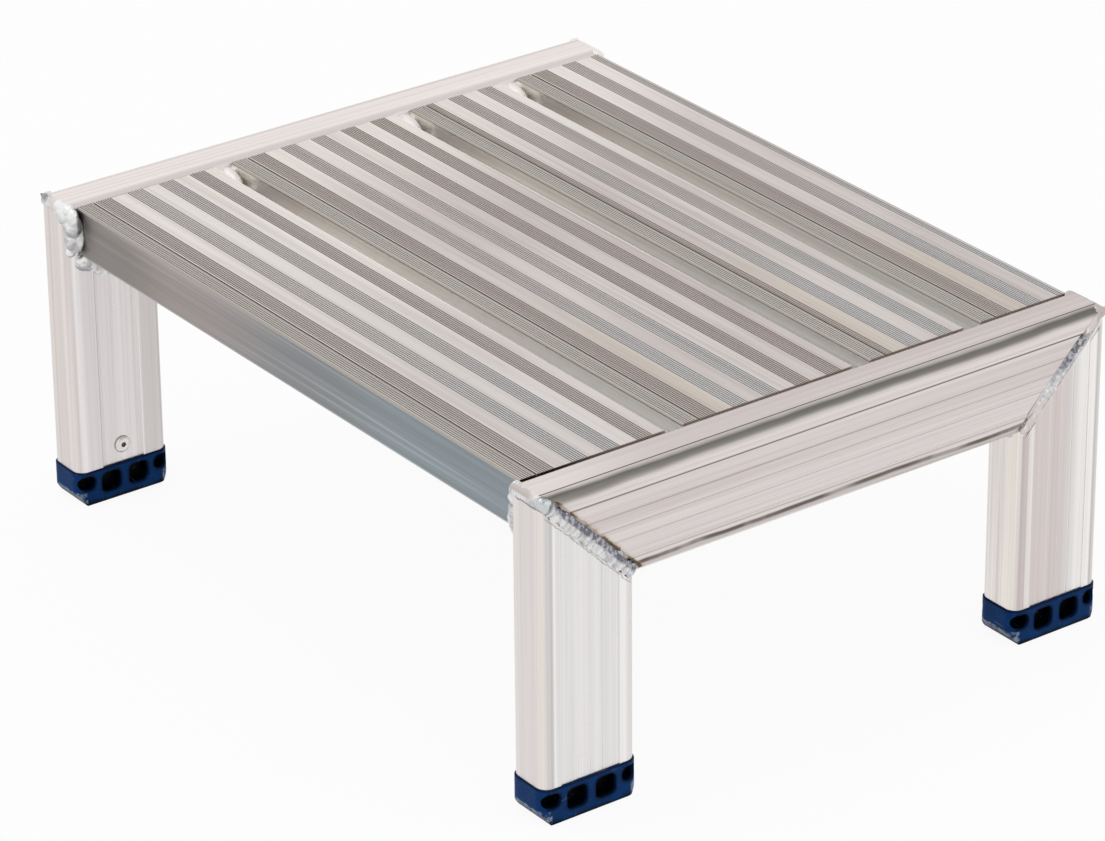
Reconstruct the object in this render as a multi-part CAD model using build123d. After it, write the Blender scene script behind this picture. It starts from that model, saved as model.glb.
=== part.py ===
from build123d import *
import os

# Platform steps: a welded aluminium hop-up.
# Two mitred side frames carry four ribbed treads and stand on four moulded feet.
# X runs along the treads, Y from front to back, Z up.
# The origin is on the floor, under the middle of the platform.

# Overall sizes
frame_width = 505.0
frame_depth = 400.0
platform_height = 200.0

# Stile: the hollow section of rails and legs
stile_depth = 64.0
stile_width = 30.0
stile_wall = 2.2
stile_radius = 7.0
outer_field_width = 39.5
outer_field_sink = 0.5
inner_field_width = 29.0
inner_field_sink = 0.8
scribe_count = 3
scribe_pitch = 8.2
scribe_width = 0.6
scribe_sink = 0.2

# Treads, front to back: ribbed bands on each, and a narrow ribbed strip along the back of the last
tread_names = ("front_tread", "second_tread", "third_tread", "back_tread")
tread_band_counts = (4, 5, 3, 2)
tread_first_bands = (12.0, 12.0, 5.0, 12.0)
tread_has_back_strip = (False, False, False, True)
tread_height = 32.0
tread_drop = 1.5
front_setback = 8.0
back_setback = 5.0
tread_wall = 2.5
tread_return = 3.0
top_edge_radius = 1.2
lip_edge_radius = 3.0
edge_strip = 8.2
edge_land = 1.4
line_width = 1.2
line_sink = 0.8
rib_band = 11.4
smooth_band = 10.6
back_smooth_band = 8.0
back_strip = 6.0
back_edge_land = 2.0
rib_pitch = 1.6
rib_groove_width = 0.6
rib_groove_sink = 0.4

# Feet
foot_height = 22.5
foot_proud = 1.0
foot_bevel_depth = 6.0
foot_bevel_height = 8.5
foot_edge = 0.8
spigot_height = 24.0
spigot_wall = 3.0
spigot_clearance = 0.2
pocket_depth = 7.5
pocket_draft = 4.0
middle_pocket = (14.0, 13.5, 4.0)
middle_pocket_offset = 9.7
middle_pocket_height = 12.6
end_pocket = (11.5, 9.6, 4.4)
end_pocket_offset = 26.4
end_pocket_height = 15.0
sole_groove_offsets = (10.0, 16.0, 22.0)
sole_groove_width = 2.0
sole_groove_sink = 1.5
sole_groove_margin = 4.0

# Blind rivets
rivet_above_foot = 11.5
rivet_hole_radius = 2.45
rivet_shank_radius = 2.4
rivet_head_radius = 5.4
rivet_head_rise = 1.6
rivet_head_rim = 0.4
rivet_dome_bulge = 0.25
rivet_dome_share = 0.8
rivet_bulge_radius = 3.4
rivet_bulge_length = 3.6
rivet_bulge_slope = 0.9
rivet_bore_radius = 1.35
pin_radius = 1.3
pin_below_head_top = 0.5
pin_knob_radius = 2.3
pin_knob_length = 2.4

# Welds
mitre_bead_half_width = 5.0
mitre_bead_crown = 2.3
mitre_bead_root = 1.2
mitre_bead_end_gap = 1.0
inner_bead_half_width = 4.0
inner_bead_crown = 1.8
inner_bead_root = 0.6
inner_bead_start = 17.0
inner_bead_end_gap = 2.0
corner_bead = 4.0
fillet_bead = 4.0
tread_bead = 5.0
tread_bead_below_top = 4.5
under_bead = 8.0
under_bead_length = 18.0

# Worked-out places
half_width = frame_width / 2
half_depth = frame_depth / 2
inner_face = half_width - stile_width
stile_middle = half_width - stile_width / 2
leg_middle = -half_depth + stile_depth / 2
rail_middle = platform_height - stile_depth / 2
tread_top = platform_height - tread_drop
tread_bottom = tread_top - tread_height
line_start = top_edge_radius + edge_strip + edge_land
rivet_height = foot_height + rivet_above_foot
inner_field_floor = inner_face + inner_field_sink
reach = 2 * frame_width


def save(node, shape):
    export_step(shape, f"parts/{node}.step")


def mirrored_left(shape):
    return mirror(shape, about=Plane.YZ)


def mirrored_back(shape):
    return mirror(shape, about=Plane.XZ)


def side_prism(points):
    # A shape drawn in the side view, Y across and Z up, made long enough to pass through a frame.
    outline = Polyline(*points, close=True)
    return extrude(Plane.YZ * make_face(outline), amount=reach, both=True)


# Stile section: local X points to the frame's outer side, local Y runs across the wide faces.
def stile_rectangle(grow):
    # The plain section, grown or shrunk by an even margin.
    return RectangleRounded(stile_width + 2 * grow, stile_depth + 2 * grow, stile_radius + grow)


def stile_outline():
    outline = stile_rectangle(0)
    outer_sink = Rectangle(2 * outer_field_sink, outer_field_width)
    inner_sink = Rectangle(2 * inner_field_sink, inner_field_width)
    outline -= Pos(stile_width / 2, 0) * outer_sink
    outline -= Pos(-stile_width / 2, 0) * inner_sink
    field = stile_width / 2 - outer_field_sink
    for offset in GridLocations(0, scribe_pitch, 1, scribe_count):
        outline -= Pos(field, 0) * offset * Rectangle(2 * scribe_sink, scribe_width)
    return outline


rail_plane = Plane(origin=(stile_middle, -half_depth, rail_middle), x_dir=(1, 0, 0), z_dir=(0, 1, 0))
leg_plane = Plane(origin=(stile_middle, leg_middle, foot_height), x_dir=(1, 0, 0), z_dir=(0, 0, 1))
leg_length = platform_height - foot_height


# Mitre welds at the front right corner
def lens(half_width_across, crown, root):
    # Bead section: local X points out of the face, local Y runs across the seam.
    left = (0, -half_width_across)
    right = (0, half_width_across)
    crown_arc = ThreePointArc(left, (crown, 0), right)
    root_arc = ThreePointArc(right, (-root, 0), left)
    return make_face([crown_arc, root_arc])


def seam_bead(face_x, outward, start, end, half_width_across, crown, root):
    # A bead along the mitre seam: start and end are depths measured from the corner.
    origin = (face_x, -half_depth + start, platform_height - start)
    section = Plane(origin=origin, x_dir=(outward, 0, 0), z_dir=(0, 1, -1))
    return extrude(section * lens(half_width_across, crown, root), amount=(end - start) * 2**0.5)


def mitre_welds(corner_block):
    outer_field = half_width - outer_field_sink
    outer_bead = seam_bead(
        outer_field, 1, corner_bead, stile_depth - mitre_bead_end_gap,
        mitre_bead_half_width, mitre_bead_crown, mitre_bead_root,
    )
    inner_bead = seam_bead(
        inner_field_floor, -1, inner_bead_start, stile_depth - inner_bead_end_gap,
        inner_bead_half_width, inner_bead_crown, inner_bead_root,
    )
    # The corner bead rounds off the edge where the rail's top meets the leg's front.
    low = (-half_depth, platform_height - corner_bead)
    high = (-half_depth + corner_bead, platform_height)
    lift = corner_bead * (1 - 0.5**0.5)
    round_off = ThreePointArc(low, (-half_depth + lift, platform_height - lift), high)
    corner_face = make_face([round_off, Line(high, low)])
    corner = extrude(Plane.YZ * corner_face, amount=reach, both=True) & corner_block
    # The fillet bead lies in the hollow under the rail, where it meets the leg's back.
    hollow_y = -half_depth + stile_depth
    hollow_z = platform_height - stile_depth
    fillet_face = make_face([
        Line((hollow_y, hollow_z), (hollow_y + fillet_bead, hollow_z)),
        Line((hollow_y + fillet_bead, hollow_z), (hollow_y, hollow_z - fillet_bead)),
        Line((hollow_y, hollow_z - fillet_bead), (hollow_y, hollow_z)),
    ])
    fillet_plane = Plane.YZ.offset(inner_face + stile_radius)
    fillet_weld = extrude(fillet_plane * fillet_face, amount=stile_width - 2 * stile_radius)
    return outer_bead, inner_bead, corner, fillet_weld


# Side frames
def frame_pieces():
    rail_blank = extrude(rail_plane * stile_outline(), amount=frame_depth)
    leg_blank = extrude(leg_plane * stile_outline(), amount=leg_length)
    bore = stile_rectangle(-stile_wall)
    rail_tube = rail_blank - extrude(rail_plane * bore, amount=frame_depth)
    leg_tube = leg_blank - extrude(leg_plane * bore, amount=leg_length)

    welds = mitre_welds(rail_blank & leg_blank)
    outer_bead, inner_bead, corner, fillet_weld = welds

    front, back = -half_depth, half_depth
    top, under = platform_height, platform_height - stile_depth
    rail_mask = side_prism([
        (front, top), (back, top), (back - stile_depth, under), (front + stile_depth, under),
    ])
    leg_mask = side_prism([
        (front, 0), (front, top), (front + stile_depth, under), (front + stile_depth, 0),
    ])
    edge_cut = side_prism([
        (front, top - corner_bead), (front + corner_bead, top), (front, top + corner_bead),
        (front - corner_bead, top),
    ])

    leg = (leg_tube & leg_mask) - edge_cut - outer_bead - inner_bead
    leg -= rivet_hole()
    rail = rail_tube & rail_mask
    for cutter in (edge_cut, outer_bead, inner_bead):
        rail = rail - cutter - mirrored_back(cutter)
    return rail, leg, welds


# Feet
def rivet_hole():
    hole_plane = Plane(origin=(inner_face, leg_middle, rivet_height), z_dir=(1, 0, 0))
    return extrude(hole_plane * Circle(rivet_hole_radius), amount=stile_width / 2, both=True)


def foot():
    floor_plane = Plane(origin=(stile_middle, leg_middle, 0))
    width = stile_width + 2 * foot_proud
    depth = stile_depth + 2 * foot_proud
    body = extrude(stile_rectangle(foot_proud), amount=foot_height)
    body = chamfer(body.edges().group_by(Axis.Z)[-1], foot_edge)
    body = chamfer(body.edges().group_by(Axis.Z)[0], foot_edge)

    for end in (-1, 1):
        edge = end * depth / 2
        wedge = Polyline(
            (edge, 0), (edge, foot_bevel_height), (edge - end * foot_bevel_depth, 0), close=True,
        )
        body -= extrude(Plane.YZ * make_face(wedge), amount=width, both=True)

    for side in (-1, 1):
        side_plane = Plane(origin=(side * width / 2, 0, 0), x_dir=(0, 1, 0), z_dir=(-side, 0, 0))
        upward = 1 if side_plane.y_dir.Z > 0 else -1
        for end in (-1, 1):
            places = (
                (middle_pocket, middle_pocket_offset, middle_pocket_height),
                (end_pocket, end_pocket_offset, end_pocket_height),
            )
            for size, offset, height in places:
                mouth = side_plane * Pos(end * offset, upward * height) * RectangleRounded(*size)
                body -= extrude(mouth, amount=pocket_depth, taper=pocket_draft)

    for offset in sole_groove_offsets:
        for end in (-1, 1):
            groove_length = width - 2 * sole_groove_margin
            body -= Pos(0, end * offset, 0) * Box(groove_length, sole_groove_width, 2 * sole_groove_sink)

    spigot_inset = stile_wall + spigot_clearance
    spigot = extrude(stile_rectangle(-spigot_inset), amount=spigot_height)
    well_inset = spigot_inset + spigot_wall
    well = Rectangle(stile_width - 2 * well_inset, stile_depth - 2 * well_inset)
    spigot -= extrude(well, amount=spigot_height)
    body += Pos(0, 0, foot_height) * spigot
    return floor_plane * body - rivet_hole()


# Blind rivet: local Z points out of the leg's inner face, with the head above the field.
def rivet():
    grip = stile_wall - inner_field_sink + spigot_clearance + spigot_wall
    blind_end = -grip - rivet_bulge_length
    head_top = rivet_bore_radius * 2
    dome = ThreePointArc(
        (rivet_head_radius, rivet_head_rim),
        ((rivet_head_radius + head_top) / 2 + rivet_dome_bulge, rivet_head_rise * rivet_dome_share),
        (head_top, rivet_head_rise),
    )
    outline = [
        dome,
        Polyline(
            (head_top, rivet_head_rise),
            (rivet_bore_radius, rivet_head_rise),
            (rivet_bore_radius, blind_end),
            (rivet_shank_radius, blind_end),
            (rivet_bulge_radius, blind_end + rivet_bulge_slope),
            (rivet_bulge_radius, -grip - rivet_bulge_slope / 2),
            (rivet_shank_radius, -grip),
            (rivet_shank_radius, 0),
            (rivet_head_radius, 0),
            (rivet_head_radius, rivet_head_rim),
        ),
    ]
    sleeve = revolve(Plane.XZ * make_face(outline), axis=Axis.Z)

    pin_top = rivet_head_rise - pin_below_head_top
    pin = Pos(0, 0, blind_end) * extrude(Circle(pin_radius), amount=pin_top - blind_end)
    knob = Pos(0, 0, blind_end - pin_knob_length) * extrude(Circle(pin_knob_radius), amount=pin_knob_length)
    knob = chamfer(knob.edges().group_by(Axis.Z)[0], pin_knob_radius / 2)
    seat = Plane(origin=(inner_field_floor, leg_middle, rivet_height), z_dir=(-1, 0, 0))
    return seat * sleeve, seat * (pin + knob)


# Treads: drawn with local X running back from the front face and local Y up from the top.
def tread_bands(band_count, first_band, has_back_strip):
    # Start and width of each ribbed band, and the width of the whole tread.
    bands = [(top_edge_radius, edge_strip)]
    place = line_start + line_width
    width = first_band
    for index in range(band_count):
        bands.append((place, width))
        last = index == band_count - 1 and not has_back_strip
        place += width + (back_smooth_band if last else smooth_band)
        width = rib_band
    if has_back_strip:
        bands.append((place, back_strip))
        place += back_strip + back_edge_land
    return bands, place


def tread_profile(bands, width):
    body = Pos(width / 2, -tread_height / 2) * Rectangle(width, tread_height)
    body = fillet(body.vertices().group_by(Axis.Y)[-1], top_edge_radius)
    body = fillet(body.vertices().group_by(Axis.Y)[0], lip_edge_radius)
    inside_width = width - 2 * tread_wall
    inside_height = tread_height - 2 * tread_wall
    body -= Pos(width / 2, -tread_height / 2) * Rectangle(inside_width, inside_height)
    # The mouth passes right through the bottom wall between the two returns.
    mouth_height = 4 * tread_wall
    body -= Pos(width / 2, -tread_height) * Rectangle(inside_width - 2 * tread_return, mouth_height)

    body -= Pos(line_start + line_width / 2, 0) * Rectangle(line_width, 2 * line_sink)
    groove = Rectangle(rib_groove_width, 2 * rib_groove_sink)
    for place, band_width in bands:
        groove_count = int(band_width / rib_pitch)
        for offset in GridLocations(rib_pitch, 0, groove_count, 1):
            body -= Pos(place + band_width / 2, 0) * offset * groove
    return body


def tread_places(widths):
    span = frame_depth - front_setback - back_setback
    gap = (span - sum(widths)) / (len(widths) - 1)
    return [-half_depth + front_setback + sum(widths[:i]) + i * gap for i in range(len(widths))]


def quarter_round(radius):
    # A quarter disc in the corner of local -X and -Y.
    arc = CenterArc((0, 0), radius, 180, 90)
    return make_face([arc, Line((0, -radius), (0, 0)), Line((0, 0), (-radius, 0))])


def tread_welds(front, width):
    # Right-hand end: upright beads on both lips, and one under the front lip.
    bead_bottom = tread_bottom + lip_edge_radius
    bead_height = tread_top - tread_bead_below_top - bead_bottom
    upright = Plane(origin=(inner_face, front, bead_bottom))
    front_bead = extrude(upright * quarter_round(tread_bead), amount=bead_height)
    upright = Plane(origin=(inner_face, front + width, bead_bottom))
    turned = mirror(quarter_round(tread_bead), about=Plane.XZ)
    back_bead = extrude(upright * turned, amount=bead_height)
    low_end = front + lip_edge_radius + under_bead_length
    run = Plane(origin=(inner_face, low_end, tread_bottom), x_dir=(1, 0, 0), z_dir=(0, -1, 0))
    low_bead = extrude(run * quarter_round(under_bead), amount=under_bead_length)
    return front_bead, back_bead, low_bead


# Write every piece
os.makedirs("parts", exist_ok=True)

rail, leg, welds = frame_pieces()
sleeve, pin = rivet()
save("right_rail", rail)
save("left_rail", mirrored_left(rail))
corner_pieces = {
    "leg": leg,
    "foot": foot(),
    "foot_rivet": sleeve,
    "rivet_pin": pin,
    "mitre_weld": Compound(children=[*welds]),
}
for piece, shape in corner_pieces.items():
    back_shape = mirrored_back(shape)
    save(f"front_right_{piece}", shape)
    save(f"front_left_{piece}", mirrored_left(shape))
    save(f"back_right_{piece}", back_shape)
    save(f"back_left_{piece}", mirrored_left(back_shape))

layouts = [
    tread_bands(*kind) for kind in zip(tread_band_counts, tread_first_bands, tread_has_back_strip)
]
fronts = tread_places([width for bands, width in layouts])
for node, front, (bands, width) in zip(tread_names, fronts, layouts):
    section = Plane(origin=(0, front, tread_top), x_dir=(0, 1, 0), z_dir=(1, 0, 0))
    save(node, extrude(section * tread_profile(bands, width), amount=inner_face, both=True))
    end_welds = Compound(children=[*tread_welds(front, width)])
    save(f"{node}_weld_right", end_welds)
    save(f"{node}_weld_left", mirrored_left(end_welds))
    print(node, "front", round(front, 3), "width", round(width, 3))
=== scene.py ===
import bpy
import math
import random
from mathutils import Matrix, Vector


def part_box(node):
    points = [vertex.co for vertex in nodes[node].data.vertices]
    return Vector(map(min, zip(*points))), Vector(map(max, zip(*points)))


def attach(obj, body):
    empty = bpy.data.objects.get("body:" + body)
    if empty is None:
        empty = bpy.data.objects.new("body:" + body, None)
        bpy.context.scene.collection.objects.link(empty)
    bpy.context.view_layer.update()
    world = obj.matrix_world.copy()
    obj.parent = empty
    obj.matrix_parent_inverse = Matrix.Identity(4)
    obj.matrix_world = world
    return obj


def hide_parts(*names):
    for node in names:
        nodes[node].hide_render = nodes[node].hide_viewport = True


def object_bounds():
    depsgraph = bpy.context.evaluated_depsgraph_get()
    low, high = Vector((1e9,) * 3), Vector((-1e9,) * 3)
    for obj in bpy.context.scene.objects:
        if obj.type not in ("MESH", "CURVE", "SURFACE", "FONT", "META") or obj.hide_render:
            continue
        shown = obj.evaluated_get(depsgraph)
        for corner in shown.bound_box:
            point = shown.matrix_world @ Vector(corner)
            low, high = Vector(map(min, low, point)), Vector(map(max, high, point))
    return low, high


# platform steps: welded aluminium hop-up, shown on a white studio floor
# metres, X along the treads, Y from front to back, Z up

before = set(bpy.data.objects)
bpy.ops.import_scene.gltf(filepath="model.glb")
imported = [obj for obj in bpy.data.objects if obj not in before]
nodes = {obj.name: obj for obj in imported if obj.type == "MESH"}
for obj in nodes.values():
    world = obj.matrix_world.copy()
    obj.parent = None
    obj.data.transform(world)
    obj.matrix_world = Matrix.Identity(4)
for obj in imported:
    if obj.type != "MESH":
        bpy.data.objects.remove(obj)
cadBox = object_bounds()
mm = 0.001
print("frame loaded,", len(nodes), "CAD nodes")

corners = {"front_right": (1, -1), "front_left": (-1, -1), "back_right": (1, 1), "back_left": (-1, 1)}
treadNames = ("front_tread", "second_tread", "third_tread", "back_tread")


def tone(red, green, blue):
    # screen colour 0 to 255, as a linear colour
    def linear(value):
        value = value / 255
        return value / 12.92 if value <= 0.04045 else ((value + 0.055) / 1.055) ** 2.4
    return (linear(red), linear(green), linear(blue), 1.0)


# node helpers

def addNode(tree, kind, **settings):
    made = tree.nodes.new(kind)
    for setting, value in settings.items():
        setattr(made, setting, value)
    return made


def feed(tree, socket, value):
    if isinstance(value, bpy.types.NodeSocket):
        tree.links.new(value, socket)
    else:
        socket.default_value = value


def sums(tree, operation, first, second=0.0):
    made = addNode(tree, "ShaderNodeMath", operation=operation)
    feed(tree, made.inputs[0], first)
    feed(tree, made.inputs[1], second)
    return made.outputs[0]


def rise(tree, value, low, high, start=0.0, end=1.0):
    # smooth step from start to end while value goes from low to high
    made = addNode(tree, "ShaderNodeMapRange", interpolation_type="SMOOTHSTEP")
    for index, item in enumerate((value, low, high, start, end)):
        feed(tree, made.inputs[index], item)
    return made.outputs[0]


def stripe(tree, value, low, high, soft):
    # 1 between low and high, 0 outside
    up = rise(tree, value, low - soft, low + soft)
    down = rise(tree, value, high - soft, high + soft, 1.0, 0.0)
    return sums(tree, "MULTIPLY", up, down)


def times(tree, first, *others):
    for other in others:
        first = sums(tree, "MULTIPLY", first, other)
    return first


def inverse(tree, mask):
    return sums(tree, "SUBTRACT", 1.0, mask)


def apartFrom(tree, value, middle):
    return sums(tree, "ABSOLUTE", sums(tree, "SUBTRACT", value, middle))


def pastLimit(tree, value, limit):
    return sums(tree, "MAXIMUM", sums(tree, "SUBTRACT", value, limit), 0.0)


def diagonal(tree, first, second):
    squares = sums(tree, "ADD", times(tree, first, first), times(tree, second, second))
    return sums(tree, "SQRT", squares)


def wobble(tree, grain, amount):
    # noise about 0.5, as a push to and fro
    return times(tree, sums(tree, "SUBTRACT", grain, 0.5), amount)


def rightHalf(tree, axes, left=0.0, right=1.0):
    return rise(tree, axes[0], -100 * mm, 100 * mm, left, right)


def backHalf(tree, axes, front, back):
    return rise(tree, axes[1], -50 * mm, 50 * mm, front, back)


def paint(tree, under, over, mask):
    made = addNode(tree, "ShaderNodeMix", data_type="RGBA")
    feed(tree, made.inputs[0], mask)
    feed(tree, made.inputs[6], under)
    feed(tree, made.inputs[7], over)
    return made.outputs[2]


def noise(tree, vector, scale, detail=2.0, roughness=0.5):
    made = addNode(tree, "ShaderNodeTexNoise")
    feed(tree, made.inputs["Vector"], vector)
    made.inputs["Scale"].default_value = scale
    made.inputs["Detail"].default_value = detail
    made.inputs["Roughness"].default_value = roughness
    return made.outputs[0]


def stretched(tree, vector, scale, turn=(0, 0, 0)):
    made = addNode(tree, "ShaderNodeMapping")
    feed(tree, made.inputs["Vector"], vector)
    made.inputs["Rotation"].default_value = turn
    made.inputs["Scale"].default_value = scale
    return made.outputs[0]


def startMaterial(name, metallic):
    material = bpy.data.materials.new(name)
    material.use_nodes = True
    tree = material.node_tree
    shader = tree.nodes["Principled BSDF"]
    shader.inputs["Metallic"].default_value = metallic
    place = addNode(tree, "ShaderNodeTexCoord").outputs["Object"]
    parts = addNode(tree, "ShaderNodeSeparateXYZ")
    feed(tree, parts.inputs[0], place)
    return material, tree, shader, place, parts.outputs


def finishMaterial(tree, shader, colour, roughness, relief, strength, depth=0.1 * mm):
    feed(tree, shader.inputs["Base Color"], colour)
    feed(tree, shader.inputs["Roughness"], roughness)
    made = addNode(tree, "ShaderNodeBump")
    made.inputs["Strength"].default_value = strength
    made.inputs["Distance"].default_value = depth
    feed(tree, made.inputs["Height"], relief)
    feed(tree, shader.inputs["Normal"], made.outputs[0])


def placeGroup(tree, group, **values):
    made = addNode(tree, "ShaderNodeGroup", node_tree=group)
    for socket, value in values.items():
        feed(tree, made.inputs[socket], value)
    return made.outputs


def startGroup(name, inputs, outputs):
    group = bpy.data.node_groups.new(name, "ShaderNodeTree")
    for socket, kind in inputs.items():
        group.interface.new_socket(name=socket, in_out="INPUT", socket_type=kind)
    for socket in outputs:
        group.interface.new_socket(name=socket, in_out="OUTPUT", socket_type="NodeSocketFloat")
    start = addNode(group, "NodeGroupInput").outputs
    end = addNode(group, "NodeGroupOutput").inputs
    return group, start, end


# die lines: fine streaks left by the extrusion die; the vector comes in stretched along the section
dieLines, start, end = startGroup("dieLines", {"Vector": "NodeSocketVector"}, ("Lines", "Cloud"))
fineLines = noise(dieLines, start["Vector"], 1.0, 3.0, 0.65)
broadLines = noise(dieLines, start["Vector"], 0.21, 2.0, 0.5)
allLines = sums(dieLines, "ADD", times(dieLines, fineLines, 0.55), times(dieLines, broadLines, 0.45))
feed(dieLines, end["Lines"], rise(dieLines, allLines, 0.33, 0.67))
feed(dieLines, end["Cloud"], rise(dieLines, noise(dieLines, start["Vector"], 0.045, 2.0), 0.3, 0.7))

# scuffs: short handling scratches and small dull specks
scuffs, start, end = startGroup("scuffs", {"Vector": "NodeSocketVector"}, ("Scratches", "Specks"))
slanted = stretched(scuffs, start["Vector"], (60, 700, 420), turn=(0.5, 0.35, 0.6))
crossed = stretched(scuffs, start["Vector"], (640, 52, 500), turn=(0.3, -0.4, -0.5))
oneWay = rise(scuffs, noise(scuffs, slanted, 1.0, 1.0), 0.70, 0.76)
otherWay = rise(scuffs, noise(scuffs, crossed, 1.0, 1.0), 0.71, 0.77)
feed(scuffs, end["Scratches"], sums(scuffs, "MAXIMUM", oneWay, otherWay))
feed(scuffs, end["Specks"], rise(scuffs, noise(scuffs, start["Vector"], 420.0, 2.0), 0.70, 0.78))

# weld heat and toe shadow: soot with painted shade at the edge of a bead, a thin painted shadow line there
# and the straw tint beyond
weldHeatAndToeShadow, start, end = startGroup(
    "weldHeatAndToeShadow", {"Distance": "NodeSocketFloat", "Vector": "NodeSocketVector"}, ("Soot", "ToeShadow", "Tint"))
waver = wobble(weldHeatAndToeShadow, noise(weldHeatAndToeShadow, start["Vector"], 300.0, 3.0), 2.4 * mm)
edge = sums(weldHeatAndToeShadow, "ADD", start["Distance"], waver)
patches = rise(weldHeatAndToeShadow, noise(weldHeatAndToeShadow, start["Vector"], 110.0, 1.0), 0.36, 0.56, 0.4, 1.0)
feed(weldHeatAndToeShadow, end["Soot"], times(weldHeatAndToeShadow, stripe(weldHeatAndToeShadow, edge, 3.8 * mm, 5.9 * mm, 0.35 * mm), patches))
feed(weldHeatAndToeShadow, end["ToeShadow"], stripe(weldHeatAndToeShadow, edge, 5.2 * mm, 5.9 * mm, 0.25 * mm))
feed(weldHeatAndToeShadow, end["Tint"], times(weldHeatAndToeShadow, rise(weldHeatAndToeShadow, edge, 5.4 * mm, 8.0 * mm, 1.0, 0.0), patches))
print("shared node groups ready")


# mill-finish stiles; the top and the faces each have a tone of their own, painted lighter or darker as light
# falls on them
stileLook = {
    "face": tone(226, 219, 217),
    "top": tone(240, 231, 228),
    "rightTop": tone(209, 199, 197),
    "rightTopFront": tone(228, 219, 213),
    "outer": tone(220, 211, 209),
    "legOuter": tone(231, 229, 228),
    "inner": tone(225, 219, 219),
    "cream": tone(238, 227, 215),
    "grey": tone(208, 201, 198),
    "rosy": tone(204, 191, 189),
    "backFace": tone(238, 232, 228),
    "line": tone(150, 142, 138),
    "shade": tone(108, 103, 99),
    "shadeBand": tone(101, 99, 93),
    "brownShade": tone(96, 86, 78),
    "beadShadow": tone(104, 100, 112),
    "bright": tone(246, 243, 241),
    "soot": tone(70, 58, 48),
    "straw": tone(178, 148, 100),
    "roughness": (0.30, 0.46),
    "height": 200 * mm,
    "radius": 7 * mm,
    "outerFace": 252.5 * mm,
    "innerFace": 222.5 * mm,
    "middle": 168 * mm,         # middle of the stile, from the floor on a rail and from the centre on a leg
    # on a rail, heights from the middle of the stile
    "lowShadeLine": (-25.6 * mm, -23.1 * mm),
    "land": (-30.0 * mm, -24.0 * mm),
    "glint": (23.6 * mm, 26.2 * mm),
    "bandFoot": (23.8 * mm, 26.5 * mm),   # at the front, where the band is wider, and behind
    "bandFull": 29.4 * mm,
    "bandEnd": (30.7 * mm, 32.0 * mm),
    # beside the welds
    "backSlim": 1.55,           # the back seams have a slimmer bead that starts lower
    "seamStart": (210 * mm, 187 * mm),    # front and back
    "beadShadowLevel": (194.0 * mm, 195.4 * mm),
    "beadShadowDepth": (-198.6 * mm, -198.2 * mm),
}
# painted shade and highlights at the sunk fields' edges, rounded corners and scribed lines: tone, from and to
# across the stile, softness, face and strength
legLines = (
    ("shade", 24.8, 31.0, 1.6, "outer", 0.28),
    ("shade", 24.9, 26.4, 0.5, "outer", 0.22),
    ("bright", 23.2, 24.2, 0.4, "outer", 0.9),
    ("bright", 19.35, 20.15, 0.25, "outer", 0.5),
    ("bright", -20.05, -19.45, 0.25, "outer", 0.4),
    ("bright", -24.4, -20.6, 0.6, "outer", 0.7),
    ("line", -32.5, -27.0, 1.5, "outer", 0.22),
    ("bright", 25.0, 28.6, 0.8, "inner", 0.6),
    ("shade", 14.1, 14.9, 0.25, "inner", 0.45),
    ("bright", -15.0, -14.0, 0.3, "inner", 0.8),
    ("line", -33.0, -15.6, 0.5, "inner", 0.2),
    ("shade", -33.0, -28.0, 2.0, "inner", 0.35),
    ("bright", -8.6, -7.8, 0.2, "outer", 0.6),
    ("bright", -0.4, 0.4, 0.2, "outer", 0.6),
    ("bright", 7.8, 8.6, 0.2, "outer", 0.6),
)
railLines = (
    ("bright", 20.55, 21.55, 0.3, "outer", 0.35),
    ("brownShade", 18.95, 20.25, 0.2, "outer", 1.0),
    ("bright", -20.15, -19.15, 0.25, "outer", 0.6),
    ("line", -21.35, -20.35, 0.25, "outer", 0.6),
    ("line", 14.1, 14.9, 0.25, "inner", 0.3),
    ("line", -14.9, -14.1, 0.25, "inner", 0.3),
    ("line", -8.6, -7.8, 0.2, "outer", 0.26),
    ("line", -0.4, 0.4, 0.2, "outer", 0.26),
    ("line", 7.8, 8.6, 0.2, "outer", 0.26),
)


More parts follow.
